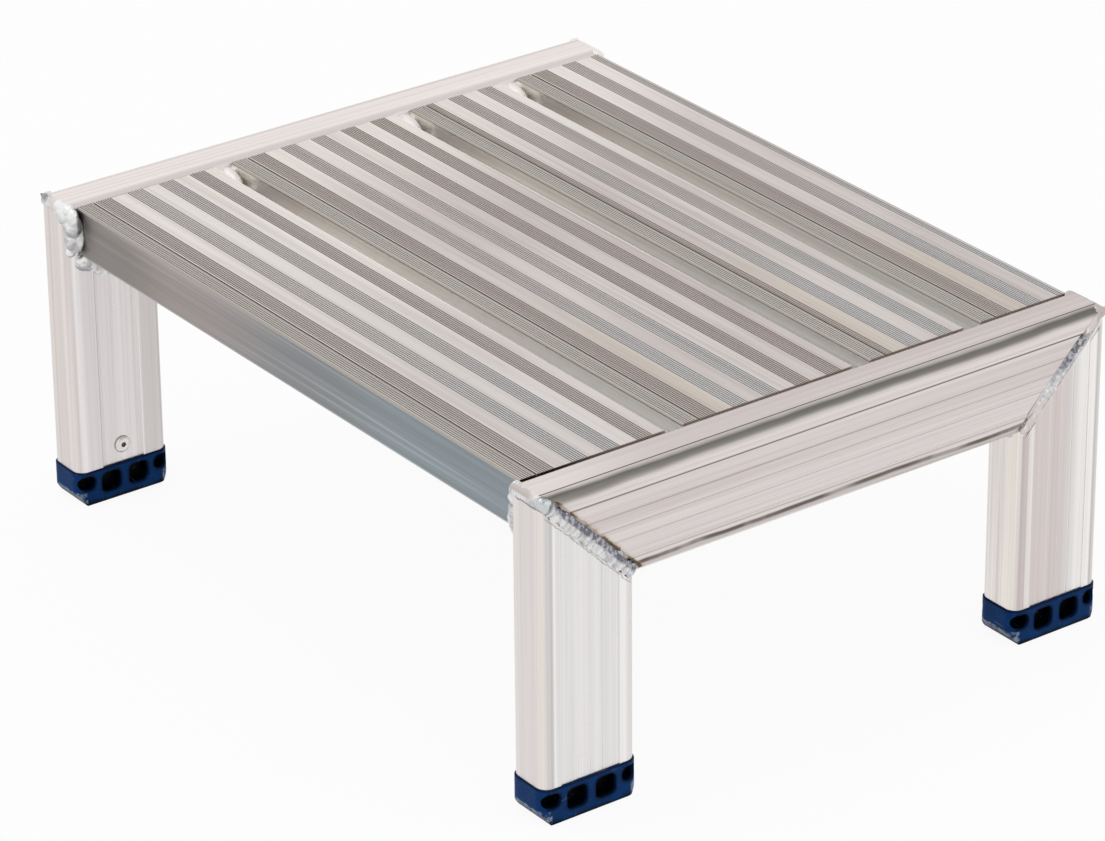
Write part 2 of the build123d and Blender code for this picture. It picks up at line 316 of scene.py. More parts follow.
def stileMaterial(name, alongLeg):
    look = stileLook
    material, tree, shader, place, axes = startMaterial(name, 1.0)
    side = sums(tree, "ABSOLUTE", axes[0])
    depth = sums(tree, "ABSOLUTE", axes[1])
    height = axes[2]
    across = sums(tree, "SUBTRACT", depth if alongLeg else height, look["middle"])
    outer = rise(tree, side, look["outerFace"] - 1.5 * mm, look["outerFace"] - 0.7 * mm)
    inner = rise(tree, side, look["innerFace"] + 0.8 * mm, look["innerFace"] + 1.6 * mm, 1.0, 0.0)

    def coat(shade, *masks):
        nonlocal colour
        colour = paint(tree, colour, look[shade], times(tree, *masks))

    face = look["face"]
    wide = look["outer"]
    if alongLeg:
        # the narrow faces have broad cream and grey streaks, and the back legs' narrow faces are painted
        # lighter
        streaks = noise(tree, stretched(tree, place, (230, 230, 2)), 1.0, 2.0)
        back = rise(tree, axes[1], 0.0, 50 * mm)
        face = paint(tree, face, look["backFace"], back)
        face = paint(tree, face, look["cream"], rise(tree, streaks, 0.5, 0.68, 0.0, 0.45))
        face = paint(tree, face, look["grey"], rise(tree, streaks, 0.32, 0.5, 0.7, 0.0))
        # painted gradient on the back legs' outer faces: rosier toward the front, a painted highlight toward
        # the back
        rosy = rise(tree, across, -4 * mm, 14 * mm, 0.85, 0.0)
        pale = rise(tree, across, 8 * mm, 20 * mm, 0.0, 0.8)
        wide = paint(tree, look["legOuter"], look["rosy"], times(tree, back, rosy))
        wide = paint(tree, wide, look["bright"], times(tree, back, pale))
    colour = paint(tree, face, wide, outer)
    coat("inner", inner)
    if not alongLeg:
        # painted light and shade: the rail tops are lighter than the sides, and the right rail's top is
        # darker, less so near the front
        top = rise(tree, height, look["height"] - 1.6 * mm, look["height"] - 0.4 * mm)
        farther = rise(tree, axes[1], -190 * mm, -100 * mm)
        rightTop = paint(tree, look["rightTopFront"], look["rightTop"], farther)
        topTone = paint(tree, look["top"], rightTop, rightHalf(tree, axes))
        colour = paint(tree, colour, topTone, top)

    faces = {"outer": outer, "inner": inner}
    for shade, low, high, soft, where, strength in legLines if alongLeg else railLines:
        mask = stripe(tree, across, low * mm, high * mm, soft * mm)
        coat(shade, mask, faces[where], strength)

    # the die leaves streaks along the section
    along = (1300, 1300, 5) if alongLeg else (1300, 5, 1300)
    lines = placeGroup(tree, dieLines, Vector=stretched(tree, place, along))
    marks = placeGroup(tree, scuffs, Vector=place)
    streaky = rise(tree, lines["Lines"], 0.2, 1.0, 0.0, 0.10 if alongLeg else 0.2)
    coat("line", streaky)
    coat("bright", rise(tree, lines["Cloud"], 0.3, 1.0, 0.0, 0.2))
    coat("line", marks["Scratches"], 0.05)
    coat("line", marks["Specks"], 0.1)

    if not alongLeg:
        # painted shade: a brown line on the land under the outer field, where the lower rounding begins, and
        # a softer shade below it
        waver = wobble(tree, noise(tree, place, 22.0, 2.0), 4 * mm)
        uneven = sums(tree, "ADD", across, waver)
        wearAndPatches = rise(tree, noise(tree, stretched(tree, place, (1, 26, 1)), 1.0, 3.0), 0.38, 0.6, 0.5, 1.0)
        lowShadeLine = times(tree, stripe(tree, uneven, *look["lowShadeLine"], 0.7 * mm), outer, wearAndPatches)
        coat("brownShade", lowShadeLine)
        land = times(tree, stripe(tree, uneven, *look["land"], 1.0 * mm), outer, 0.3)
        coat("line", land)
        # rounded upper edge: a painted highlight, a thin painted shade line where the top ends, then a soft
        # band of painted shade, mostly on the right rail
        flatEnd = look["outerFace"] - look["radius"]
        rounded = rise(tree, side, flatEnd, flatEnd + 0.5 * mm)
        mostlyRight = rightHalf(tree, axes, 0.25, 0.92)
        glint = times(tree, stripe(tree, uneven, *look["glint"], 0.8 * mm), rounded, 0.25)
        coat("bright", glint)
        edge = sums(tree, "ADD", across, times(tree, waver, 0.45))
        bandFoot = rise(tree, axes[1], -200 * mm, -90 * mm, *look["bandFoot"])
        shadeBand = rise(tree, edge, bandFoot, look["bandFull"])
        shadeBand = times(tree, shadeBand, rise(tree, edge, *look["bandEnd"], 1.0, 0.15))
        coat("shadeBand", shadeBand, rounded, mostlyRight)
        upperLine = stripe(tree, side, flatEnd - 0.3 * mm, flatEnd + 0.7 * mm, 0.2 * mm)
        upperLine = times(tree, upperLine, rise(tree, height, 190 * mm, 195 * mm), mostlyRight)
        coat("brownShade", upperLine)

    # soot and straw tint beside the mitre seam, which runs where depth and height are equal
    apart = times(tree, apartFrom(tree, depth, height), math.sqrt(0.5))
    apart = times(tree, apart, backHalf(tree, axes, 1.0, look["backSlim"]))
    begun = sums(tree, "LESS_THAN", height, backHalf(tree, axes, *look["seamStart"]))
    heat = placeGroup(tree, weldHeatAndToeShadow, Distance=apart, Vector=place)
    if alongLeg:
        # painted shadow line along the toe of the bead
        coat("brownShade", heat["ToeShadow"], outer, begun, 0.42)
        # painted shadow: a wavy dark line under the bead over the front right edge
        level = sums(tree, "ADD", height, wobble(tree, noise(tree, place, 120.0, 1.0), 6 * mm))
        beadShadow = stripe(tree, level, *look["beadShadowLevel"], 0.35 * mm)
        onFront = rise(tree, axes[1], *look["beadShadowDepth"], 1.0, 0.0)
        beadShadow = times(tree, beadShadow, onFront, rise(tree, axes[0], 0.0, 100 * mm, 0.15, 1.0), 0.75)
        coat("beadShadow", beadShadow)
    else:
        coat("straw", heat["Tint"], outer, begun, 0.6)
        # soot, which also stands for painted shade at the bead's toe
        coat("soot", heat["Soot"], outer, begun, 0.85)

    rough = rise(tree, lines["Lines"], 0.0, 1.0, *look["roughness"])
    finishMaterial(tree, shader, colour, rough, lines["Lines"], 0.12)
    return material


railMill = stileMaterial("railMill", False)
legMill = stileMaterial("legMill", True)


# treads: ribbed and smooth bands, darker front lip
treadLook = {
    "smoothLeft": tone(230, 221, 215),
    "smoothRight": tone(208, 199, 195),
    "smoothBehind": tone(197, 186, 182),   # the treads behind the first are duller and rosier
    "rib": tone(189, 180, 175),
    "ribBehind": tone(186, 175, 170),
    "coolRib": tone(203, 198, 195),
    "coolRibBehind": tone(199, 192, 189),
    "coolRibRight": tone(201, 199, 199),
    "coolSmooth": tone(219, 215, 213),
    "beige": tone(206, 195, 178),
    "noseRib": tone(198, 192, 186),
    "noseEdge": tone(174, 168, 160),
    "backEdge": tone(252, 249, 247),
    "endFace": tone(46, 40, 36),
    "endShadow": tone(164, 152, 143),
    "groove": tone(154, 145, 139),
    "line": tone(172, 163, 156),
    "lipLeft": tone(138, 132, 128),
    "lipWarm": tone(158, 149, 146),
    "lipMiddle": tone(135, 138, 141),
    "lipRight": tone(138, 148, 154),
    "lipFoot": tone(196, 196, 197),
    "wallLeft": tone(250, 246, 241),
    "wallRight": tone(242, 240, 237),
    "streak": tone(120, 118, 116),
    "bright": tone(242, 239, 237),
    "top": 198.5 * mm,
    "edgeRound": 1.2 * mm,
    "noseBack": (9.5 * mm, 10.9 * mm),
    "lipFootTop": 168.6 * mm,
    "lipBlends": (("lipWarm", -175, -115), ("lipMiddle", -100, 20), ("lipRight", 30, 120)),   # along the lip
    "endFade": (14 * mm, 72 * mm),   # the dark line at the front tread's end fades between these depths
    "darkLine": (10.8 * mm, 12.0 * mm),
    "period": 22.0 * mm,
    "ribBand": 11.4 * mm,
    "coolBands": (0.8, 2.8),     # the second and third ribbed bands are cooler
    "roughness": (0.28, 0.42),
    "firstBandEnd": {"third_tread": 17 * mm, "others": 24 * mm},
}


def treadMaterial(node):
    look = treadLook
    isFirst = node == treadNames[0]
    material, tree, shader, place, axes = startMaterial(node + "Mill", 1.0)
    low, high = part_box(node)
    depth = high.y - low.y
    behind = sums(tree, "SUBTRACT", axes[1], low.y)
    height = axes[2]
    top = look["top"]
    rightward = rise(tree, axes[0], -210 * mm, 150 * mm)
    farRight = rise(tree, axes[0], -20 * mm, 170 * mm)
    lines = placeGroup(tree, dieLines, Vector=stretched(tree, place, (4, 1100, 1100)))
    marks = placeGroup(tree, scuffs, Vector=place)

    def coat(shade, *masks):
        nonlocal colour
        colour = paint(tree, colour, look[shade], times(tree, *masks))

    # ribbed bands repeat behind the dark line
    bandEnd = look["firstBandEnd"].get(node, look["firstBandEnd"]["others"])
    lineEnd = look["darkLine"][1]
    turn = sums(tree, "SUBTRACT", behind, bandEnd - look["ribBand"])
    turn = sums(tree, "DIVIDE", turn, look["period"])
    share = look["ribBand"] / look["period"]
    soft = 0.012
    bands = stripe(tree, sums(tree, "FRACT", turn), soft, share - soft, soft)
    bands = times(tree, bands, rise(tree, behind, lineEnd - 0.2 * mm, lineEnd))
    nose = rise(tree, behind, lineEnd, lineEnd + 0.2 * mm, 1.0, 0.0)
    ribbed = sums(tree, "MAXIMUM", bands, nose)

    # painted reflection: the smooth bands are lighter at the left and greyer toward the right
    if isFirst:
        smooth = paint(tree, look["smoothLeft"], look["smoothRight"], rightward)
    else:
        soonRight = rise(tree, axes[0], -210 * mm, -40 * mm)
        smooth = paint(tree, look["smoothLeft"], look["smoothBehind"], soonRight)
    cloud = rise(tree, noise(tree, stretched(tree, place, (5, 60, 1)), 1.0, 3.0), 0.35, 0.7)
    smooth = paint(tree, smooth, look["bright"], times(tree, cloud, 0.35))
    cool = stripe(tree, turn, *look["coolBands"], 0.05)
    smooth = paint(tree, smooth, look["coolSmooth"], times(tree, cool, 0.35 if isFirst else 0.1))
    if not isFirst:
        firstSmooth = stripe(tree, turn, share, 1.0, 0.02)
        smooth = paint(tree, smooth, look["beige"], times(tree, firstSmooth, farRight, 0.45))
    # the ribbed bands and the nose are painted darker than the smooth bands, as shade in their fine ribs
    coolRib = paint(tree, look["coolRib" if isFirst else "coolRibBehind"], look["coolRibRight"], farRight)
    rib = paint(tree, look["rib" if isFirst else "ribBehind"], coolRib, cool)
    rib = paint(tree, rib, look["noseRib"], nose)
    colour = paint(tree, smooth, rib, ribbed)

    # rounded top edges: painted shade at the front and at the back of the nose, a painted highlight at the
    # back
    coat("noseEdge", rise(tree, behind, 0.7 * mm, 1.3 * mm, 1.0, 0.0))
    coat("noseEdge", stripe(tree, behind, *look["noseBack"], 0.2 * mm))
    backStart = depth - look["edgeRound"]
    if node != treadNames[-1]:
        backEdge = rise(tree, behind, backStart - 0.4 * mm, backStart)
        backEdge = times(tree, backEdge, rise(tree, farRight, 0.0, 1.0, 1.0, 0.2))
        coat("backEdge", backEdge)

    # groove floors and the dark line lie under the top, painted darker as shade in the recesses
    between = stripe(tree, behind, look["edgeRound"], backStart, 0.1 * mm)
    sunk = times(tree, rise(tree, height, top - 0.5 * mm, top - 0.12 * mm, 1.0, 0.0), between)
    skin = rise(tree, height, top - 2.2 * mm, top - 1.9 * mm)
    coat("groove", sunk, skin)
    darkLine = times(tree, stripe(tree, behind, *look["darkLine"], 0.1 * mm), sunk)
    coat("line", darkLine)

    # walls under the top, then the front lip and its rounded foot
    body = rise(tree, height, top - 1.6 * mm, top - 1.2 * mm, 1.0, 0.0)
    # painted light: the walls under the top are near-white, lightest at the left, against the shade of the
    # gaps
    colour = paint(tree, colour, paint(tree, look["wallLeft"], look["wallRight"], rightward), body)
    if isFirst:
        onLip = times(tree, rise(tree, behind, 0.25 * mm, 0.5 * mm, 1.0, 0.0), body)
        # painted reflection: along the lip the tone drifts from warm at the left to blue-grey at the right
        lip = look["lipLeft"]
        for shade, begin, end in look["lipBlends"]:
            lip = paint(tree, lip, look[shade], rise(tree, axes[0], begin * mm, end * mm))
        level = noise(tree, stretched(tree, place, (4, 1, 330)), 1.0, 3.0)
        lip = paint(tree, lip, look["bright"], rise(tree, level, 0.5, 0.8, 0.0, 0.22))
        lip = paint(tree, lip, look["streak"], rise(tree, level, 0.25, 0.5, 0.3, 0.0))
        colour = paint(tree, colour, lip, onLip)
        # painted reflection: the rounded foot of the lip is pale
        foot = rise(tree, height, look["lipFootTop"] - 0.8 * mm, look["lipFootTop"] + 0.8 * mm, 1.0, 0.0)
        foot = times(tree, foot, rise(tree, behind, 3.0 * mm, 4.0 * mm, 1.0, 0.0))
        coat("lipFoot", foot)

    coat("streak", rise(tree, lines["Lines"], 0.3, 1.0, 0.0, 0.14))
    coat("streak", marks["Scratches"], 0.12)
    # painted shadow: a dark line where the tread ends at the rail
    atEnd = rise(tree, sums(tree, "ABSOLUTE", axes[0]), high.x - 0.5 * mm, high.x - 0.2 * mm)
    endTone = look["endShadow"]
    if isFirst:
        endTone = paint(tree, look["endFace"], endTone, rise(tree, behind, *look["endFade"], 0.0, 0.95))
    else:
        atEnd = times(tree, atEnd, rise(tree, height, top - 1.1 * mm, top - 0.7 * mm))
    colour = paint(tree, colour, endTone, atEnd)
    rough = rise(tree, lines["Lines"], 0.0, 1.0, *look["roughness"])
    finishMaterial(tree, shader, colour, rough, lines["Lines"], 0.1)
    return material


treadMaterials = {node: treadMaterial(node) for node in treadNames}


# moulded feet
footLook = {
    "body": tone(4, 49, 99),
    "light": tone(6, 60, 117),
    "pocketShade": tone(2, 5, 12),
    "rim": tone(3, 22, 54),
    "sole": tone(2, 7, 18),
    "wearAndPatches": tone(150, 160, 172),
    "middle": (237.5 * mm, 168 * mm),
    "half": (16 * mm, 33 * mm),
    "radius": 8 * mm,
    "height": 22.5 * mm,
    "bevel": (6.0 * mm, 8.5 * mm),
    # pocket mouths: offset from the middle, height, half width, half height and corner radius
    "mouths": (
        (9.7 * mm, 12.6 * mm, 7.0 * mm, 6.75 * mm, 4.0 * mm),
        (26.4 * mm, 15.0 * mm, 5.75 * mm, 4.8 * mm, 4.4 * mm),
    ),
    "mouthShade": 2.2 * mm,
    "soleTop": (3.4 * mm, 6.0 * mm),   # in the middle of a side and at its ends
    "roughness": (0.38, 0.54),
    "specular": 0.06,
}


def footMaterial():
    look = footLook
    material, tree, shader, place, axes = startMaterial("mouldedFoot", 0.0)
    shader.inputs["Specular IOR Level"].default_value = look["specular"]
    aside = apartFrom(tree, sums(tree, "ABSOLUTE", axes[0]), look["middle"][0])
    endward = apartFrom(tree, sums(tree, "ABSOLUTE", axes[1]), look["middle"][1])
    height = axes[2]
    halfWide, halfLong = look["half"]
    top = look["height"]
    grain = noise(tree, place, 1400.0, 3.0, 0.6)
    cloud = noise(tree, place, 90.0, 2.0)

    def coat(shade, *masks):
        nonlocal colour
        colour = paint(tree, colour, look[shade], times(tree, *masks))

    colour = paint(tree, look["body"], look["light"], rise(tree, cloud, 0.4, 0.75, 0.0, 0.6))

    # how far a point lies inside the rounded outline
    pastX = pastLimit(tree, aside, halfWide - look["radius"])
    pastY = pastLimit(tree, endward, halfLong - look["radius"])
    inside = sums(tree, "SUBTRACT", look["radius"], diagonal(tree, pastX, pastY))
    bevelDepth, bevelHeight = look["bevel"]
    endFace = rise(tree, endward, halfLong - bevelDepth - 0.4 * mm, halfLong - bevelDepth)
    bevel = times(tree, endFace, rise(tree, height, bevelHeight, bevelHeight + 0.8 * mm, 1.0, 0.0))
    inPocket = times(tree, rise(tree, inside, 0.9 * mm, 2.2 * mm), rise(tree, height, 5.0 * mm, 5.6 * mm))
    inPocket = times(tree, inPocket, rise(tree, height, top - 1.5 * mm, top - 0.9 * mm, 1.0, 0.0))
    # painted shade: the pockets are near-black inside
    coat("pocketShade", inPocket, inverse(tree, bevel))

    # painted shade round the pocket mouths and a painted shadow line along the top rim; the sides get darker
    # toward the sole
    onSide = rise(tree, aside, 14.0 * mm, 15.0 * mm)
    for offset, level, halfWidth, halfHeight, radius in look["mouths"]:
        beside = pastLimit(tree, apartFrom(tree, endward, offset), halfWidth - radius)
        above = pastLimit(tree, apartFrom(tree, height, level), halfHeight - radius)
        mouthShade = rise(tree, diagonal(tree, beside, above), radius, radius + look["mouthShade"], 0.6, 0.0)
        coat("sole", mouthShade, onSide)
    coat("rim", rise(tree, height, top - 1.6 * mm, top - 0.6 * mm, 0.0, 0.85))
    soleTop = rise(tree, endward, halfLong - 16 * mm, halfLong - 4 * mm, *look["soleTop"])
    ragged = sums(tree, "ADD", height, wobble(tree, cloud, 3.0 * mm))
    coat("sole", rise(tree, ragged, 0.8 * mm, soleTop, 0.95, 0.0))

    # the bevelled ends wear pale first
    rubbed = rise(tree, noise(tree, place, 260.0, 4.0, 0.7), 0.42, 0.62)
    wearAndPatches = times(tree, bevel, rubbed, rise(tree, height, 1.2 * mm, 3.2 * mm), 0.85)
    coat("wearAndPatches", wearAndPatches)
    marks = placeGroup(tree, scuffs, Vector=place)
    coat("wearAndPatches", marks["Scratches"], 0.12)
    rough = rise(tree, grain, 0.3, 0.7, *look["roughness"])
    finishMaterial(tree, shader, colour, rough, grain, 0.25, 0.15 * mm)
    return material


mouldedFoot = footMaterial()


# blind rivets
rivetLook = {
    "head": tone(228, 224, 220),
    "dull": tone(150, 146, 142),
    "pin": tone(72, 68, 64),
    "pinBright": tone(128, 122, 116),
    "roughness": (0.25, 0.45),
    "place": (168 * mm, 34 * mm),
    "rimRadius": 4.9 * mm,
    "mouthRadius": 1.9 * mm,
    "soft": 0.5 * mm,
}


def rivetMaterial(name, isPin):
    look = rivetLook
    material, tree, shader, place, axes = startMaterial(name, 1.0)
    endward = sums(tree, "SUBTRACT", sums(tree, "ABSOLUTE", axes[1]), look["place"][0])
    upward = sums(tree, "SUBTRACT", axes[2], look["place"][1])
    radius = diagonal(tree, endward, upward)
    mottle = noise(tree, place, 900.0, 3.0, 0.6)
    if isPin:
        colour = paint(tree, look["pin"], look["pinBright"], rise(tree, mottle, 0.45, 0.7))
    else:
        rim = rise(tree, radius, look["rimRadius"], look["rimRadius"] + look["soft"])
        mouth = rise(tree, radius, look["mouthRadius"] - look["soft"], look["mouthRadius"], 1.0, 0.0)
        colour = paint(tree, look["head"], look["dull"], rise(tree, mottle, 0.5, 0.8, 0.0, 0.5))
        colour = paint(tree, colour, look["dull"], rim)
        colour = paint(tree, colour, look["pin"], mouth)
    finishMaterial(tree, shader, colour, rise(tree, mottle, 0.3, 0.7, *look["roughness"]), mottle, 0.15)
    return material


rivetHead = rivetMaterial("rivetHead", False)
rivetPin = rivetMaterial("rivetPin", True)


# weld metal: bright ripples, painted shade in the crevices and in grey patches, brown soot here and there
beadLook = {
    "metal": tone(232, 231, 231),
    "dull": tone(112, 113, 124),
    "crevice": tone(128, 126, 127),
    "soot": tone(120, 98, 72),
    "silver": tone(178, 180, 184),
    "knob": tone(204, 208, 209),
    "knobShade": tone(92, 91, 97),
    "burnt": tone(92, 92, 74),
    "flush": tone(216, 207, 205),
    "dressed": tone(200, 191, 186),
    "dressedLeft": tone(230, 221, 218),
    "deposit": tone(250, 250, 249),
    "depositShade": tone(142, 142, 147),
    "depositFacing": (0.25, -0.5, 0.83),
    "depositSpan": (-236.5 * mm, -212.0 * mm),
    "depositBack": (-188.5 * mm, -187.5 * mm),
    "gapEnd": tone(243, 240, 235),
    "knobPlace": (249.3 * mm, -195.8 * mm, 195.0 * mm),
    "knobReach": 5.2 * mm,
    "knobFacing": (0.6, -0.68, 0.42),
    "backStart": 186 * mm,       # the back beads start below this height and are dressed flush above it
    "backEnd": (146 * mm, 162 * mm),
    "overTop": 2.6 * mm,         # how far the dressing reaches from the seam over a corner
    "flanks": (-5.0 * mm, 6.5 * mm),
    "roughness": (0.28, 0.48),
}


def beadMaterial():
    look = beadLook
    material, tree, shader, place, axes = startMaterial("weldBead", 1.0)
    openness = addNode(tree, "ShaderNodeVertexColor", layer_name="crevice").outputs["Color"]
    normal = addNode(tree, "ShaderNodeTexCoord").outputs["Normal"]
    side = sums(tree, "ABSOLUTE", axes[0])
    height = axes[2]
    outer = rise(tree, side, 250 * mm, 251.5 * mm)
    back = rise(tree, axes[1], 100 * mm, 110 * mm)
    front = rise(tree, axes[1], -193 * mm, -192 * mm, 1.0, 0.0)
    frost = noise(tree, place, 1500.0, 3.0, 0.6)

    def facing(way):
        made = addNode(tree, "ShaderNodeVectorMath", operation="DOT_PRODUCT")
        feed(tree, made.inputs[0], normal)
        made.inputs[1].default_value = way
        return made.outputs["Value"]

    def coat(shade, *masks):
        nonlocal colour
        colour = paint(tree, colour, look[shade], times(tree, *masks))

    # painted shade: grey patches over the weld metal, and the crevices darker
    silvery = rise(tree, noise(tree, place, 170.0, 2.0), 0.42, 0.64, 0.0, 0.7)
    metal = paint(tree, look["metal"], look["silver"], silvery)
    colour = paint(tree, look["crevice"], metal, rise(tree, openness, 0.34, 0.56))
    # painted shade: the rail side of a mitre bead is blue-grey and blotched, but pale low down at the back
    overSeam = sums(tree, "SUBTRACT", height, sums(tree, "ABSOLUTE", axes[1]))
    toothed = sums(tree, "ADD", overSeam, wobble(tree, noise(tree, place, 560.0, 1.0), 5 * mm))
    blotches = rise(tree, noise(tree, place, 420.0, 2.0), 0.38, 0.56, 0.4, 1.0)
    pale = times(tree, back, rise(tree, height, 162 * mm, 176 * mm, 0.8, 0.0))
    shaded = times(tree, rise(tree, toothed, -0.9 * mm, 1.8 * mm), outer, blotches, inverse(tree, pale))
    coat("dull", shaded)
    sooty = rise(tree, noise(tree, place, 130.0, 2.0), 0.6, 0.75, 0.0, 0.35)
    coat("soot", sooty)

    # knob where the front right bead was started, with painted light on its upper outer side and painted
    # shade round the rest
    fromKnob = addNode(tree, "ShaderNodeVectorMath", operation="DISTANCE")
    feed(tree, fromKnob.inputs[0], place)
    fromKnob.inputs[1].default_value = look["knobPlace"]
    knob = rise(tree, fromKnob.outputs["Value"], look["knobReach"], look["knobReach"] + 0.6 * mm, 0.9, 0.0)
    ball = paint(tree, look["knobShade"], look["knob"], rise(tree, facing(look["knobFacing"]), 0.3, 0.85))
    colour = paint(tree, colour, ball, knob)

    # the deposit at the front left has a painted highlight above and painted shade below
    onDeposit = stripe(tree, axes[0], *look["depositSpan"], 1.0 * mm)
    onDeposit = times(tree, onDeposit, rise(tree, axes[1], *look["depositBack"], 1.0, 0.0))
    upward = facing(look["depositFacing"])
    above = times(tree, onDeposit, rise(tree, upward, 0.55, 0.9, 0.0, 0.8))
    below = times(tree, onDeposit, rise(tree, upward, 0.0, 0.5, 0.6, 0.0))
    coat("deposit", above)
    coat("depositShade", below)

    # dressed flush: the upper and lower ends of a back bead, and the edge over a corner
    upperEnd = rise(tree, height, look["backStart"], look["backStart"] + 2 * mm)
    lowerEnd = rise(tree, height, *look["backEnd"], 0.85, 0.0)
    ends = sums(tree, "MAXIMUM", upperEnd, lowerEnd)
    coat("flush", ends, back, outer)
    inward = sums(tree, "MAXIMUM", rise(tree, side, 239 * mm, 246 * mm, 1.0, 0.0), back)
    atCorner = sums(tree, "MAXIMUM", front, rise(tree, axes[1], 192 * mm, 193 * mm))
    overTop = stripe(tree, overSeam, -look["overTop"], look["overTop"], 0.6 * mm)
    overTop = times(tree, overTop, rise(tree, height, 194 * mm, 195 * mm))
    # only the front right corner keeps bare flanks
    elsewhere = inverse(tree, times(tree, front, rightHalf(tree, axes)))
    flanks = stripe(tree, overSeam, *look["flanks"], 0.6 * mm)
    flanks = times(tree, flanks, rise(tree, height, 189 * mm, 190 * mm), elsewhere)
    dressed = times(tree, atCorner, inward, sums(tree, "MAXIMUM", overTop, flanks), 0.9)
    dressed = times(tree, dressed, inverse(tree, onDeposit))
    # painted shade: the dressed metal on the right is darker than on the left
    dressedTone = paint(tree, look["dressedLeft"], look["dressed"], rightHalf(tree, axes))
    colour = paint(tree, colour, dressedTone, dressed)
    burnt = times(tree, rise(tree, axes[0], -248 * mm, -243 * mm, 1.0, 0.0), front, overTop)
    burnt = times(tree, burnt, rise(tree, frost, 0.4, 0.6, 0.2, 0.75))
    coat("burnt", burnt)

    # the lumps at the left end of the gaps are painted pale, as painted light against the shade of the gaps,
    # and dull
    gapEnd = times(tree, rise(tree, axes[1], -100 * mm, -98 * mm), rise(tree, height, 180 * mm, 190 * mm))
    gapEnd = times(tree, gapEnd, rise(tree, axes[0], -210 * mm, -190 * mm, 1.0, 0.0))
    coat("gapEnd", gapEnd, 0.85)
    dull = sums(tree, "MAXIMUM", times(tree, dressed, 0.65), times(tree, gapEnd, 0.62))
    rough = sums(tree, "MAXIMUM", rise(tree, frost, 0.3, 0.7, *look["roughness"]), dull)
    finishMaterial(tree, shader, colour, rough, frost, 0.2)
    return material


weldBead = beadMaterial()

finishes = {
    "_rail": railMill,
    "_leg": legMill,
    "_foot": mouldedFoot,
    "_foot_rivet": rivetHead,
    "_rivet_pin": rivetPin,
}
for name, node in nodes.items():
    finish = treadMaterials.get(name, weldBead)
    for ending, material in finishes.items():
        if name.endswith(ending):
            finish = material
    node.data.materials.clear()
    node.data.materials.append(finish)
print("materials on the CAD nodes")


# weld beads: one drop of metal is modelled, then laid in rows, joined and melted together
def clearSelection():
    bpy.ops.object.select_all(action="DESELECT")


def modelDrop():
    clearSelection()
    bpy.ops.mesh.primitive_uv_sphere_add(segments=18, ring_count=10, radius=1.0)
    drop = bpy.context.object
    drop.name = "weldDrop"
    bpy.ops.object.mode_set(mode="EDIT")
    bpy.ops.mesh.select_all(action="DESELECT")
    bpy.ops.object.mode_set(mode="OBJECT")
    for vertex in drop.data.vertices:  # the trailing half is drawn out
        vertex.select = vertex.co.y < -0.05
    bpy.ops.object.mode_set(mode="EDIT")
    bpy.ops.transform.resize(value=(0.92, 1.25, 0.9))
    bpy.ops.object.mode_set(mode="OBJECT")
    return drop


weldDrop = modelDrop()


def layDrop(place, along, outward, size):
    # size: half the length along the seam, half the width across it, and the height, in millimetres
    along = Vector(along).normalized()
    outward = Vector(outward).normalized()
    across = along.cross(outward)
    turn = Matrix((across, along, outward)).transposed().to_4x4()
    length, width, height = size
    stretch = Matrix.Diagonal((width * mm, length * mm, height * mm, 1.0))
    laid = weldDrop.copy()
    laid.data = weldDrop.data.copy()
    laid.matrix_world = Matrix.Translation(Vector(place) * mm) @ turn @ stretch
    bpy.context.collection.objects.link(laid)
    return laid


meltLook = {"grain": 0.45 * mm, "ripple": 0.5 * mm, "rippleLength": 3.6 * mm}
weldSkin = bpy.data.textures.new("weldSkin", "CLOUDS")
weldSkin.noise_scale = meltLook["rippleLength"]
weldSkin.noise_depth = 2


def applyModifier(piece, kind, **settings):
    made = piece.modifiers.new(kind.lower(), kind)
    for setting, value in settings.items():
        setattr(made, setting, value)
    bpy.ops.object.modifier_apply(modifier=made.name)


def meltDrops(drops, name, rounds):
    clearSelection()
    for drop in drops:
        drop.select_set(True)
    bpy.context.view_layer.objects.active = drops[0]
    bpy.ops.object.join()
    piece = bpy.context.object
    piece.name = name
    piece.data.name = name
    bpy.ops.object.transform_apply(location=True, rotation=True, scale=True)
    applyModifier(piece, "REMESH", mode="VOXEL", voxel_size=meltLook["grain"])
    applyModifier(piece, "DISPLACE", texture=weldSkin, strength=meltLook["ripple"], mid_level=0.5)
    applyModifier(piece, "SMOOTH", factor=0.5, iterations=rounds)
    # weld metal is dressed back inside the outline of the step
    lowest, highest = cadBox
    for vertex in piece.data.vertices:
        for axis in range(3):
            vertex.co[axis] = min(max(vertex.co[axis], lowest[axis]), highest[axis] - 0.05 * mm)
    bpy.ops.object.shade_smooth()
    shadeCrevices()
    piece.data.materials.clear()
    piece.data.materials.append(weldBead)
    return piece


def shadeCrevices():
    # darkens the hollows between the ripples of the active piece, in a colour attribute
    bpy.ops.geometry.color_attribute_add(
        name="crevice", domain="CORNER", data_type="FLOAT_COLOR", color=(1, 1, 1, 1))
    bpy.ops.object.mode_set(mode="VERTEX_PAINT")
    bpy.ops.paint.vertex_color_dirt(
        blur_strength=1.0, blur_iterations=1, clean_angle=math.radians(120),
        dirt_angle=math.radians(60), normalize=False)
    bpy.ops.object.mode_set(mode="OBJECT")


